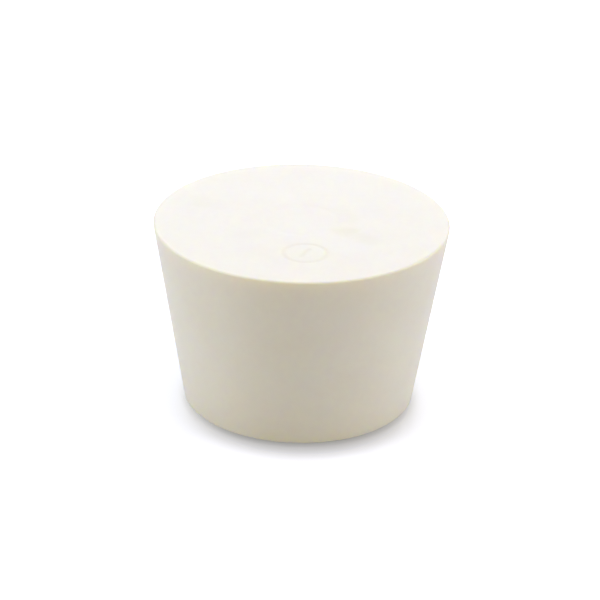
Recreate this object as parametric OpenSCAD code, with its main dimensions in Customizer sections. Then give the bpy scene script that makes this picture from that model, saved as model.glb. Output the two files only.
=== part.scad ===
// Solid laboratory stopper, moulded in one piece of white rubber.
// It is a tapered plug with two flat ends. It stands on its narrow end at
// z = 0, with its axis along +Z. All sizes are in millimetres.

/* [Plug] */
// Diameter of the wide end, over its rounded rim
wide_d = 39; // [24:0.5:60]
// Diameter of the narrow end, which goes into the neck first
narrow_d = 31; // [16:0.5:52]
// Height from the narrow end's face to the wide end's face
height = 25; // [12:0.5:60]

/* [Moulded edges] */
// Radius of the rim round the wide end
rim_r = 0.25; // [0.1:0.05:2]
// Radius of the edge round the narrow end
foot_r = 0.2; // [0.1:0.05:2]

/* [Recess in the wide end] */
// Diameter of the shallow round recess that the mould's insert leaves
recess_d = 11; // [4:0.5:18]
// Depth of the recess
recess_depth = 0.03; // [0.01:0.01:1]
// Width of the slope that runs round inside the recess
recess_slope = 0.8; // [0.1:0.05:1]

/* [Hidden] */
$fn = 128;

// Centres of the foot's and the rim's arcs, in the half section [radius, height]
foot_centre = [narrow_d / 2 - foot_r, foot_r];
rim_centre = [wide_d / 2 - rim_r, height - rim_r];

// The flank is the straight line that touches both arcs from outside
centre_line = rim_centre - foot_centre;
arc_step = asin((foot_r - rim_r) / norm(centre_line));
flank_lean = atan2(centre_line.x, centre_line.y) - arc_step;
flank_outward = [cos(flank_lean), -sin(flank_lean)];

// Straight-sided part of the half section, with the recess in its upper end
module straight_section() {
    recess_r = recess_d / 2;
    recess_floor = height - recess_depth;
    polygon([
        [0, 0],
        [foot_centre.x, 0],
        foot_centre + foot_r * flank_outward,
        rim_centre + rim_r * flank_outward,
        [rim_centre.x, height],
        [recess_r, height],
        [recess_r - recess_slope, recess_floor],
        [0, recess_floor]
    ]);
}

// Half section of the plug: the straight part and a disc that rounds each edge
module half_section() {
    straight_section();
    translate(foot_centre) circle(r = foot_r);
    translate(rim_centre) circle(r = rim_r);
}

module stopper() {
    color([0.86, 0.83, 0.75]) rotate_extrude() half_section();
}

stopper();
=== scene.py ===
"""A white rubber laboratory stopper on a white table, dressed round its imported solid.

Lengths are in metres.
"""
import math

import bmesh
import bpy
from mathutils import Matrix, Vector


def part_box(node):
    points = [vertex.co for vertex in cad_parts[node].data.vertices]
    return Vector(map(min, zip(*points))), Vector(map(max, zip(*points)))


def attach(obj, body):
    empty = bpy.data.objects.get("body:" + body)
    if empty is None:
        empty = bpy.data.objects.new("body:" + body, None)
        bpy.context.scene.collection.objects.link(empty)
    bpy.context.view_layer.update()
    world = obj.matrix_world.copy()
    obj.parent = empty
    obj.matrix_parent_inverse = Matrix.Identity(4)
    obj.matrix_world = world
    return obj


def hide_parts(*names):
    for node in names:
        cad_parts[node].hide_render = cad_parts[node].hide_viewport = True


MM = 0.001

# The plug's own sizes that its box doesn't give, as its solid has them
NARROW_D = 31 * MM
RIM_R = 0.25 * MM
FOOT_R = 0.2 * MM
RECESS_D = 11 * MM
RECESS_DEPTH = 0.03 * MM
RECESS_SLOPE = 0.8 * MM

# How finely the plug is cut: steps round the axis, and steps along each stretch of its half section
STEPS_ROUND = 360
STEPS_PER_EDGE_ARC = 8
STEPS_UP_FLANK = 24
STEPS_DOWN_RECESS = 8
WIDE_RING_SPACING = 0.5 * MM
NARROW_RING_SPACING = 1.0 * MM
# A ring of points this far inside each rounded edge keeps the shading of the flat faces flat
SUPPORT_RING = 0.08 * MM
# Points closer together than this become one, which closes the two poles
MERGE_DISTANCE = RIM_R / 1000

# The mark that a slotted mould insert leaves in the wide end: a ring with a slanted bar in it
MARK_CENTRE = Vector((0.5, -10.6)) * MM
MARK_RING_R = 2.8 * MM
MARK_LINE_W = 1.1 * MM
MARK_BAR_LENGTH = 2.4 * MM
MARK_BAR_LEAN = math.radians(24)
MARK_DEPTH = 0.05 * MM
MARK_FINER_STEPS = 3
# The mark's groove is coloured darker and warmer than the face round it, with this colour at this share where
# it is deepest
MARK_COLOUR = "#DCD3BB"
MARK_COLOUR_SHARE = 0.2
PRESSED = "pressed_by_mark"

# Painted shade of shallow dents in the wide end, as faint yellowish patches, in millimetres: centre, half
# length, half width and half depth, turn in degrees, strength
PAINTED_DENT_SHADES = [
    ((6.0, -3.4, 25.0), (2.5, 2.3, 3.0), 0, 0.26),
    ((8.2, -5.6, 25.0), (3.2, 2.2, 3.0), -45, 0.16),
    ((6.0, 2.4, 25.0), (6.0, 1.6, 3.0), -76, 0.1),
    ((-12.9, 5.4, 25.0), (3.8, 2.4, 3.0), -48, 0.08),
    ((-6.9, -5.0, 25.0), (3.8, 2.6, 3.0), 10, 0.09),
]
PAINTED_DENT_SHADE_COLOUR = "#DDDAB1"
# Their outlines wander this far, in lumps of this width, and full strength reaches this share of the way out
PAINTED_DENT_SHADE_FRAY = 2.0 * MM
PAINTED_DENT_SHADE_LUMP = 2.5 * MM
PAINTED_DENT_SHADE_CORE = 0.2

# Rubber: the bloom lies on it in clouds and the filler shows as flecks, between these two colours
BLOOM_RAMP = ((0.3, "#EEE8D6"), (0.7, "#F1ECDD"))
BLOOM_CLOUD = 7 * MM
FILLER_FLECK = 0.9 * MM
FLECK_SHARE = 0.35
ROUGHNESS = (0.45, 0.55)
RUBBER_IOR = 1.52
# Light scatters this far into it, red the furthest and blue the least, so thin edges look warm
SCATTER_DEPTH = 1.3 * MM
SCATTER_BY_COLOUR = (1.0, 0.8, 0.15)
# The mould's satin grain is finer than this on the real plug, and is drawn coarser so that it shows
SATIN_GRAIN = 0.22 * MM
SATIN_RELIEF = 0.02 * MM
SATIN_STRENGTH = 0.25

# Table: how far it reaches, the colour of its sheet, and the colour that lifts it to white where it is seen
TABLE_REACH = 2.0
SHEET_COLOUR = "#C0C0C2"
LIFT_COLOUR = "#CCCED3"

# The plug's shade on the table, where the table isn't lifted to white: painted shade over the sheet's real
# shadow, a circle set a little to the front
PAINTED_SHADE_CENTRE = Vector((0.4, -4.4, 0)) * MM
PAINTED_SHADE_R = (11.3 * MM, 16.8 * MM)

# The light that comes up through the table, by distance from the plug's axis: what is seen of it fades next
# to the foot, a painted contact shadow, and what falls on the plug is a little stronger there, painted light
# on the foot
GLOW = 0.155
SEEN_GLOW_IN_PAINTED_CONTACT_SHADOW = 0.07
PAINTED_CONTACT_SHADOW_R = (15.6 * MM, 16.8 * MM)
CAST_GLOW_AS_PAINTED_FOOT_LIGHT = 0.225
PAINTED_FOOT_LIGHT_R = (17 * MM, 24 * MM)

# Camera: a long lens, looking a little down on the plug, with how near and how far it sees in metres
CAMERA_ELEVATION = math.radians(25.43)
CAMERA_DISTANCE_IN_WIDTHS = 8.342
CAMERA_AIM_IN_HEIGHTS = 0.5332
CAMERA_ROLL = math.radians(1.24)
LENS_MM = 146
SENSOR_MM = 36
NEAR_AND_FAR = (0.01, 10)

# Square soft lamps: azimuth and elevation in degrees, watts and colour. Azimuth 0 is on the camera's side,
# and 90 is on the plug's right.
SOFTBOXES = {
    "overhead_softbox": (0, 90, 2.13, "#EEEEFF"),
    "left_softbox": (-90, 20, 1.12, "#F2F8FF"),
    "right_softbox": (90, 20, 1.13, "#FFFCF7"),
    "back_softbox": (180, 20, 0.92, "#DCE8FF"),
    "warm_front_softbox": (-16, 12, 0.28, "#FFDE63"),
}
SOFTBOX_WIDTH = 0.35
SOFTBOX_DISTANCE = 0.6

# The white room round the table: how strongly it lights the plug, and how strongly it is seen
ROOM_LIGHT = 0.325
ROOM_SEEN = 1.0


def linear(hex_colour):
    """An sRGB hex colour as the linear RGBA that nodes and lamps take."""
    channels = [int(hex_colour[i:i + 2], 16) / 255 for i in (1, 3, 5)]
    decoded = [c / 12.92 if c <= 0.04045 else ((c + 0.055) / 1.055) ** 2.4 for c in channels]
    return (*decoded, 1.0)


# Modelling

def arc(centre, radius, start, end, steps):
    """Points of an arc in the half section, from one angle to another, both ends included."""
    angles = [start + (end - start) * i / steps for i in range(steps + 1)]
    return [centre + radius * Vector((math.cos(a), math.sin(a))) for a in angles]


def stretch(start, end, steps):
    """Points between two points of the half section, both left out."""
    return [start.lerp(end, i / steps) for i in range(1, steps)]


def half_section(wide_r, height):
    """The plug's half section as [radius, height], from the narrow end's centre round to the wide end's."""
    foot = Vector((NARROW_D / 2 - FOOT_R, FOOT_R))
    rim = Vector((wide_r - RIM_R, height - RIM_R))
    centre_line = rim - foot
    lean = math.atan2(centre_line.x, centre_line.y) - math.asin((FOOT_R - RIM_R) / centre_line.length)
    foot_arc = arc(foot, FOOT_R, -math.pi / 2, -lean, STEPS_PER_EDGE_ARC)
    rim_arc = arc(rim, RIM_R, -lean, math.pi / 2, STEPS_PER_EDGE_ARC)

    narrow_centre = Vector((0, 0))
    narrow_edge = foot_arc[0] - Vector((SUPPORT_RING, 0))
    wide_edge = rim_arc[-1] - Vector((SUPPORT_RING, 0))
    recess_top = Vector((RECESS_D / 2, height))
    recess_foot = Vector((RECESS_D / 2 - RECESS_SLOPE, height - RECESS_DEPTH))
    wide_centre = Vector((0, recess_foot.y))

    points = [narrow_centre]
    points += stretch(narrow_centre, narrow_edge, round(narrow_edge.x / NARROW_RING_SPACING))
    points += [narrow_edge]
    points += foot_arc
    points += stretch(foot_arc[-1], rim_arc[0], STEPS_UP_FLANK)
    points += rim_arc
    points += [wide_edge]
    points += stretch(wide_edge, recess_top, round((wide_edge.x - recess_top.x) / WIDE_RING_SPACING))
    points += recess_slope(recess_top, recess_foot)
    points += stretch(recess_foot, wide_centre, round(recess_foot.x / WIDE_RING_SPACING))
    points += [wide_centre]
    return points


def recess_slope(top, foot):
    """An S-shaped slope between the wide face and the recess's floor, with both its ends."""
    shares = [i / STEPS_DOWN_RECESS for i in range(STEPS_DOWN_RECESS + 1)]
    return [Vector((top.x + (foot.x - top.x) * s, top.y + (foot.y - top.y) * smooth(s))) for s in shares]


def smooth(share):
    """0 to 1 along an S curve that starts and ends level."""
    share = min(max(share, 0), 1)
    return share * share * (3 - 2 * share)


def turn_plug(wide_r, height):
    """The plug as one closed mesh: its half section spun round the axis."""
    bm = bmesh.new()
    verts = [bm.verts.new((p.x, 0, p.y)) for p in half_section(wide_r, height)]
    edges = [bm.edges.new(pair) for pair in zip(verts, verts[1:])]
    bmesh.ops.spin(bm, geom=verts + edges, cent=(0, 0, 0), axis=(0, 0, 1), angle=2 * math.pi,
                   steps=STEPS_ROUND, use_merge=True)
    bmesh.ops.remove_doubles(bm, verts=bm.verts, dist=MERGE_DISTANCE)
    bmesh.ops.recalc_face_normals(bm, faces=bm.faces)
    return in_fixed_order(bm)


def in_fixed_order(bm):
    """A copy with its edges and faces in the same order each run, because spin leaves them in any order."""
    bm.verts.index_update()
    copy = bmesh.new()
    points = [copy.verts.new(vert.co) for vert in bm.verts]
    for corners in sorted([vert.index for vert in face.verts] for face in bm.faces):
        copy.faces.new([points[i] for i in corners])
    bm.free()
    return copy


def mark_depth(point):
    """How far the mark sinks the wide face at a point: full on the ring's and the bar's middle lines."""
    flat = Vector((point.x, point.y)) - MARK_CENTRE
    from_ring = abs(flat.length - MARK_RING_R)
    along = Vector((math.sin(MARK_BAR_LEAN), math.cos(MARK_BAR_LEAN)))
    reach = max(-MARK_BAR_LENGTH / 2, min(MARK_BAR_LENGTH / 2, flat.dot(along)))
    from_bar = (flat - along * reach).length
    nearest = min(from_ring, from_bar)
    return MARK_DEPTH * smooth(1 - 2 * nearest / MARK_LINE_W)


def sink_mark(bm, height):
    """Cuts the wide face finer round the mark and presses the mark into it."""
    reach = MARK_RING_R + MARK_LINE_W

    def near_mark(face):
        middle = face.calc_center_median()
        return middle.z > height - RECESS_DEPTH / 2 and (middle.xy - MARK_CENTRE).length < reach

    edges = [edge for edge in bm.edges if any(near_mark(face) for face in edge.link_faces)]
    # The faces next to the finer area are cut to meet its points, because points in a row make slivers
    bmesh.ops.subdivide_edges(bm, edges=edges, cuts=MARK_FINER_STEPS, use_grid_fill=True,
                              use_single_edge=True, quad_corner_type="PATH")
    pressed = bm.verts.layers.float.new(PRESSED)
    for vert in bm.verts:
        if vert.co.z > height - RECESS_DEPTH / 2:
            depth = mark_depth(vert.co)
            vert.co.z -= depth
            vert[pressed] = depth / MARK_DEPTH


def make_stopper(box):
    """The whole stopper: turned plug, sunk mark, one piece."""
    low, high = box
    wide_r, height = high.x, high.z - low.z
    bm = turn_plug(wide_r, height)
    sink_mark(bm, height)
    for face in bm.faces:
        face.smooth = True
    mesh = bpy.data.meshes.new("stopper_moulding")
    bm.to_mesh(mesh)
    bm.free()
    stopper = bpy.data.objects.new("stopper_moulding", mesh)
    bpy.context.collection.objects.link(stopper)
    mesh.materials.append(moulded_white_rubber())
    return stopper


# Materials

def add(tree, kind, settings=(), inputs=()):
    """Adds a node with its settings, then sets or links its inputs, each given by name or by number."""
    node = tree.nodes.new(kind)
    for name, value in dict(settings).items():
        setattr(node, name, value)
    for socket, value in dict(inputs).items():
        if isinstance(value, bpy.types.NodeSocket):
            tree.links.new(value, node.inputs[socket])
        else:
            node.inputs[socket].default_value = value
    return node


def new_material(name):
    """An empty node material, and its node tree."""
    material = bpy.data.materials.new(name)
    material.use_nodes = True
    material.node_tree.nodes.clear()
    return material, material.node_tree


def moulded_white_rubber():
    """Mineral-filled natural rubber, pressed in a satin steel mould.

    The filler makes it a warm off-white and lets light a little way in, so its edges glow warm. The mould
    leaves a fine satin grain and a thin bloom lies on it in soft clouds. Faint yellowish patches on its wide
    end are painted shade of shallow dents in it.
    """
    material, tree = new_material("moulded_white_rubber")
    place = add(tree, "ShaderNodeTexCoord").outputs["Object"]

    clouds = add(tree, "ShaderNodeTexNoise", {},
                 {"Vector": place, "Scale": 1 / BLOOM_CLOUD, "Detail": 2.0, "Roughness": 0.5})
    flecks = add(tree, "ShaderNodeTexNoise", {},
                 {"Vector": place, "Scale": 1 / FILLER_FLECK, "Detail": 3.0, "Roughness": 0.6})
    both = add(tree, "ShaderNodeMix", {"data_type": "FLOAT"},
               {"Factor": FLECK_SHARE, "A": clouds.outputs["Fac"], "B": flecks.outputs["Fac"]})
    bloom = add(tree, "ShaderNodeValToRGB", {}, {"Fac": both.outputs["Result"]})
    for stop, (position, hex_colour) in zip(bloom.color_ramp.elements, BLOOM_RAMP):
        stop.position = position
        stop.color = linear(hex_colour)
    # Painted shade of shallow dents in the wide end, as faint yellowish patches
    dent_shaded = add(tree, "ShaderNodeMix", {"data_type": "RGBA"},
                  {"Factor": painted_dent_shade(tree, place), "A": bloom.outputs["Color"], "B": linear(PAINTED_DENT_SHADE_COLOUR)})
    # The mark's groove is coloured darker and warmer, in step with how deep it is pressed
    pressed = add(tree, "ShaderNodeAttribute", {"attribute_name": PRESSED})
    marked = add(tree, "ShaderNodeMath", {"operation": "MULTIPLY"},
                 {0: pressed.outputs["Fac"], 1: MARK_COLOUR_SHARE})
    colour = add(tree, "ShaderNodeMix", {"data_type": "RGBA"},
                 {"Factor": marked.outputs["Value"], "A": dent_shaded.outputs["Result"],
                  "B": linear(MARK_COLOUR)})

    roughness = add(tree, "ShaderNodeMapRange", {},
                    {"Value": clouds.outputs["Fac"], "To Min": ROUGHNESS[0], "To Max": ROUGHNESS[1]})
    grain = add(tree, "ShaderNodeTexNoise", {},
                {"Vector": place, "Scale": 1 / SATIN_GRAIN, "Detail": 2.0, "Roughness": 0.5})
    relief = add(tree, "ShaderNodeBump", {},
                 {"Strength": SATIN_STRENGTH, "Distance": SATIN_RELIEF, "Height": grain.outputs["Fac"]})

    rubber = add(tree, "ShaderNodeBsdfPrincipled", {}, {
        "Base Color": colour.outputs["Result"], "Roughness": roughness.outputs["Result"], "IOR": RUBBER_IOR,
        "Normal": relief.outputs["Normal"], "Subsurface Weight": 1.0,
        "Subsurface Radius": SCATTER_BY_COLOUR, "Subsurface Scale": SCATTER_DEPTH})
    add(tree, "ShaderNodeOutputMaterial", {}, {"Surface": rubber.outputs["BSDF"]})
    return material


def painted_dent_shade(tree, place):
    """How strongly each point carries the painted shade of the dents: 0 for none, 1 for the shade's full
    colour.
    """
    lumps = add(tree, "ShaderNodeTexNoise", {}, {"Vector": place, "Scale": 1 / PAINTED_DENT_SHADE_LUMP, "Detail": 3.0})
    fray = add(tree, "ShaderNodeVectorMath", {"operation": "MULTIPLY_ADD"},
               {0: lumps.outputs["Color"], 1: [PAINTED_DENT_SHADE_FRAY] * 3, 2: [-PAINTED_DENT_SHADE_FRAY / 2] * 3})
    frayed = add(tree, "ShaderNodeVectorMath", {}, {0: place, 1: fray.outputs["Vector"]})
    total = 0.0
    for centre, half_size, turn, strength in PAINTED_DENT_SHADES:
        patch = add(tree, "ShaderNodeMapping", {"vector_type": "TEXTURE"},
                    {"Vector": frayed.outputs["Vector"], "Location": Vector(centre) * MM,
                     "Rotation": (0, 0, math.radians(turn)), "Scale": Vector(half_size) * MM})
        spot = add(tree, "ShaderNodeVectorMath", {"operation": "LENGTH"}, {0: patch.outputs["Vector"]})
        inside = add(tree, "ShaderNodeMapRange", {"interpolation_type": "SMOOTHSTEP"},
                     {"Value": spot.outputs["Value"], "From Min": PAINTED_DENT_SHADE_CORE, "From Max": 1.0,
                      "To Min": strength, "To Max": 0.0})
        total = add(tree, "ShaderNodeMath", {"operation": "MAXIMUM"},
                    {0: total, 1: inside.outputs["Result"]}).outputs["Value"]
    return total


def direct_or_mirrored(tree):
    """1 for rays from the camera, reflections and glass, and 0 for the light that falls on the plug."""
    rays = add(tree, "ShaderNodeLightPath").outputs
    seen = rays["Is Camera Ray"]
    for other in (rays["Is Glossy Ray"], rays["Is Transmission Ray"]):
        seen = add(tree, "ShaderNodeMath", {"operation": "MAXIMUM"}, {0: seen, 1: other}).outputs["Value"]
    return seen


def white_table():
    """White acrylic sheet, lit a little from below, so that the plug's foot isn't lost in its own shade.

    Seen directly or in a reflection, the sheet is lifted to white everywhere but in that shade, which is
    painted:
    a circle round the foot set a little to the front, over the sheet's own real shadow. Next to the foot the
    glow seen from the sheet fades, a painted contact shadow, and the glow that falls on the plug is stronger,
    painted light on the foot.
    """
    material, tree = new_material("white_table")
    seen = direct_or_mirrored(tree)
    place = add(tree, "ShaderNodeTexCoord").outputs["Object"]
    # Painted shade: the lift is held back inside a circle round the foot, set a little to the front
    away = add(tree, "ShaderNodeVectorMath", {"operation": "DISTANCE"}, {0: place, 1: PAINTED_SHADE_CENTRE})
    outside_painted_shade = add(tree, "ShaderNodeMapRange", {"interpolation_type": "SMOOTHSTEP"},
                   {"Value": away.outputs["Value"], "From Min": PAINTED_SHADE_R[0], "From Max": PAINTED_SHADE_R[1]})
    lifting = add(tree, "ShaderNodeMath", {"operation": "MULTIPLY"}, {0: seen, 1: outside_painted_shade.outputs["Result"]})
    sheet = add(tree, "ShaderNodeBsdfDiffuse", {}, {"Color": linear(SHEET_COLOUR)})

    from_axis = add(tree, "ShaderNodeVectorMath", {"operation": "LENGTH"}, {0: place})
    # Painted contact shadow: the glow seen from the sheet fades next to the foot
    glow_with_painted_contact_shadow = add(tree, "ShaderNodeMapRange", {"interpolation_type": "SMOOTHSTEP"},
                    {"Value": from_axis.outputs["Value"],
                     "From Min": PAINTED_CONTACT_SHADOW_R[0], "From Max": PAINTED_CONTACT_SHADOW_R[1],
                     "To Min": SEEN_GLOW_IN_PAINTED_CONTACT_SHADOW, "To Max": GLOW})
    # Painted light on the foot: the glow that falls on the plug is stronger near it, though the sheet isn't
    # seen to glow more
    glow_with_painted_foot_light = add(tree, "ShaderNodeMapRange", {"interpolation_type": "SMOOTHSTEP"},
                    {"Value": from_axis.outputs["Value"],
                     "From Min": PAINTED_FOOT_LIGHT_R[0], "From Max": PAINTED_FOOT_LIGHT_R[1],
                     "To Min": CAST_GLOW_AS_PAINTED_FOOT_LIGHT, "To Max": GLOW})
    strength = add(tree, "ShaderNodeMix", {"data_type": "FLOAT"},
                   {"Factor": seen, "A": glow_with_painted_foot_light.outputs["Result"], "B": glow_with_painted_contact_shadow.outputs["Result"]})
    glow = add(tree, "ShaderNodeEmission", {}, {"Strength": strength.outputs["Result"]})
    lit_sheet = add(tree, "ShaderNodeAddShader", {}, {0: sheet.outputs["BSDF"], 1: glow.outputs["Emission"]})
    lift = add(tree, "ShaderNodeBsdfDiffuse", {}, {"Color": linear(LIFT_COLOUR)})
    lifted = add(tree, "ShaderNodeAddShader", {}, {0: lit_sheet.outputs["Shader"], 1: lift.outputs["BSDF"]})
    mixed = add(tree, "ShaderNodeMixShader", {},
                {0: lifting.outputs["Value"], 1: lit_sheet.outputs["Shader"], 2: lifted.outputs["Shader"]})
    add(tree, "ShaderNodeOutputMaterial", {}, {"Surface": mixed.outputs["Shader"]})
    return material


# Stage, light and camera

def make_table(floor_z):
    """The table that the plug stands on, which isn't part of it."""
    bm = bmesh.new()
    bmesh.ops.create_grid(bm, x_segments=1, y_segments=1, size=TABLE_REACH)
    bmesh.ops.translate(bm, verts=bm.verts, vec=(0, 0, floor_z))
    mesh = bpy.data.meshes.new("table")
    bm.to_mesh(mesh)
    bm.free()
    table = bpy.data.objects.new("table", mesh)
    bpy.context.collection.objects.link(table)
    mesh.materials.append(white_table())


def softbox(name, azimuth, elevation, watts, colour, middle):
    """A square area lamp turned towards the plug's middle."""
    a, e = math.radians(azimuth), math.radians(elevation)
    away = Vector((math.sin(a) * math.cos(e), -math.cos(a) * math.cos(e), math.sin(e)))
    lamp = bpy.data.lights.new(name, "AREA")
    lamp.shape = "SQUARE"
    lamp.size = SOFTBOX_WIDTH
    lamp.energy = watts
    lamp.color = linear(colour)[:3]
    holder = bpy.data.objects.new(name, lamp)
    holder.location = middle + away * SOFTBOX_DISTANCE
    holder.rotation_euler = (-away).to_track_quat("-Z", "Y").to_euler()
    bpy.context.collection.objects.link(holder)


def light_scene(middle):
    """Soft lamps above and all round the plug, in a plain white room."""
    for name, (azimuth, elevation, watts, colour) in SOFTBOXES.items():
        softbox(name, azimuth, elevation, watts, colour, middle)

    world = bpy.data.worlds.new("studio")
    world.use_nodes = True
    tree = world.node_tree
    tree.nodes.clear()
    strength = add(tree, "ShaderNodeMapRange", {},
                   {"Value": direct_or_mirrored(tree), "To Min": ROOM_LIGHT, "To Max": ROOM_SEEN})
    backdrop = add(tree, "ShaderNodeBackground", {}, {"Strength": strength.outputs["Result"]})
    add(tree, "ShaderNodeOutputWorld", {}, {"Surface": backdrop.outputs["Background"]})
    bpy.context.scene.world = world


def place_camera(width, height):
    """The camera, a set number of plug widths away and aimed a little above the plug's middle."""
    aim = Vector((0, 0, CAMERA_AIM_IN_HEIGHTS * height))
    back = Vector((0, -math.cos(CAMERA_ELEVATION), math.sin(CAMERA_ELEVATION)))
    lens = bpy.data.cameras.new("camera")
    lens.lens = LENS_MM
    lens.sensor_width = SENSOR_MM
    lens.clip_start, lens.clip_end = NEAR_AND_FAR
    camera = bpy.data.objects.new("camera", lens)
    turn = (-back).to_track_quat("-Z", "Y").to_matrix() @ Matrix.Rotation(CAMERA_ROLL, 3, "Z")
    camera.matrix_world = Matrix.Translation(aim + back * CAMERA_DISTANCE_IN_WIDTHS * width) @ turn.to_4x4()
    bpy.context.collection.objects.link(camera)
    bpy.context.scene.camera = camera


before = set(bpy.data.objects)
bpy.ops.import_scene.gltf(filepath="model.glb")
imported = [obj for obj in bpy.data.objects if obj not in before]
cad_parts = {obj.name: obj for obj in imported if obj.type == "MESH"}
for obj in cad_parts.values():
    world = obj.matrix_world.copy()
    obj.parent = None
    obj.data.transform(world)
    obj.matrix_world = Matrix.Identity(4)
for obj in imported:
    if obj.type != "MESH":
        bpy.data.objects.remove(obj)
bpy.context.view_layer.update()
bpy.context.scene.view_settings.view_transform = "Standard"

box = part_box("stopper")
width, height = box[1].x - box[0].x, box[1].z - box[0].z
place_camera(width, height)
make_table(box[0].z)
light_scene(Vector((0, 0, height / 2)))

stopper = make_stopper(box)
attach(stopper, "root")
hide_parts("stopper")
